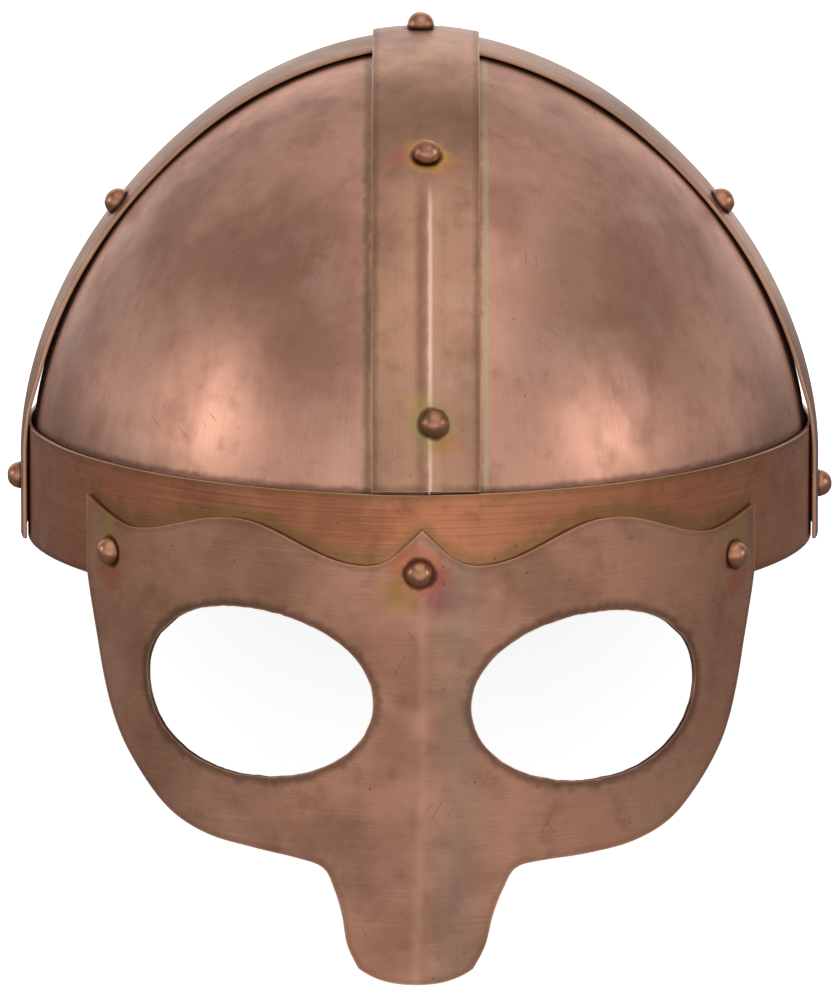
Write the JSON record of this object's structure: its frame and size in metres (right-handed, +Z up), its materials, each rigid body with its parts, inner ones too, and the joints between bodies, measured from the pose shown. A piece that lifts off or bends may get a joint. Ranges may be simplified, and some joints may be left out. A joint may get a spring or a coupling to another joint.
{
  "type": "spangenhelm helmet with spectacle mask",
  "caption": "Riveted sheet-metal helmet: domed plates under crossing bands, an oval brow band and a bent spectacle mask with scalloped top and nasal.",
  "frame": {"origin": "on the table under the middle of the helmet's box, as it rests on the nasal's tip and the rear of the brow band", "axes": "+Z up from the table, +Y from the mask to the nape, +X to the right as seen from the front"},
  "size_m": [0.2112, 0.2744, 0.1716],
  "materials": {
    "dome_copper": "aged copper plate, satin",
    "band_copper": "aged copper plate, satin, olive tarnish along the seams",
    "brow_copper": "aged copper plate, warmer and brushed lengthways",
    "mask_copper": "aged copper plate, duller, with scratches and pits",
    "rivet_copper": "bright copper heads"
  },
  "bodies": {
    "root": {"plate_front_left": "dome_copper", "plate_front_right": "dome_copper", "plate_rear_left": "dome_copper", "plate_rear_right": "dome_copper", "brow_band": "brow_copper", "cross_band": "band_copper", "fore_aft_band": "band_copper", "spectacle_mask": "mask_copper", "rivet_mask_left": "rivet_copper", "rivet_mask_centre": "rivet_copper", "rivet_mask_right": "rivet_copper", "rivet_front_lower": "rivet_copper", "rivet_front_upper": "rivet_copper", "rivet_crown": "rivet_copper", "rivet_rear_upper": "rivet_copper", "rivet_rear_lower": "rivet_copper", "rivet_right_upper": "rivet_copper", "rivet_left_upper": "rivet_copper", "rivet_ear_left": "rivet_copper", "rivet_ear_right": "rivet_copper"}
  },
  "joints": []
}
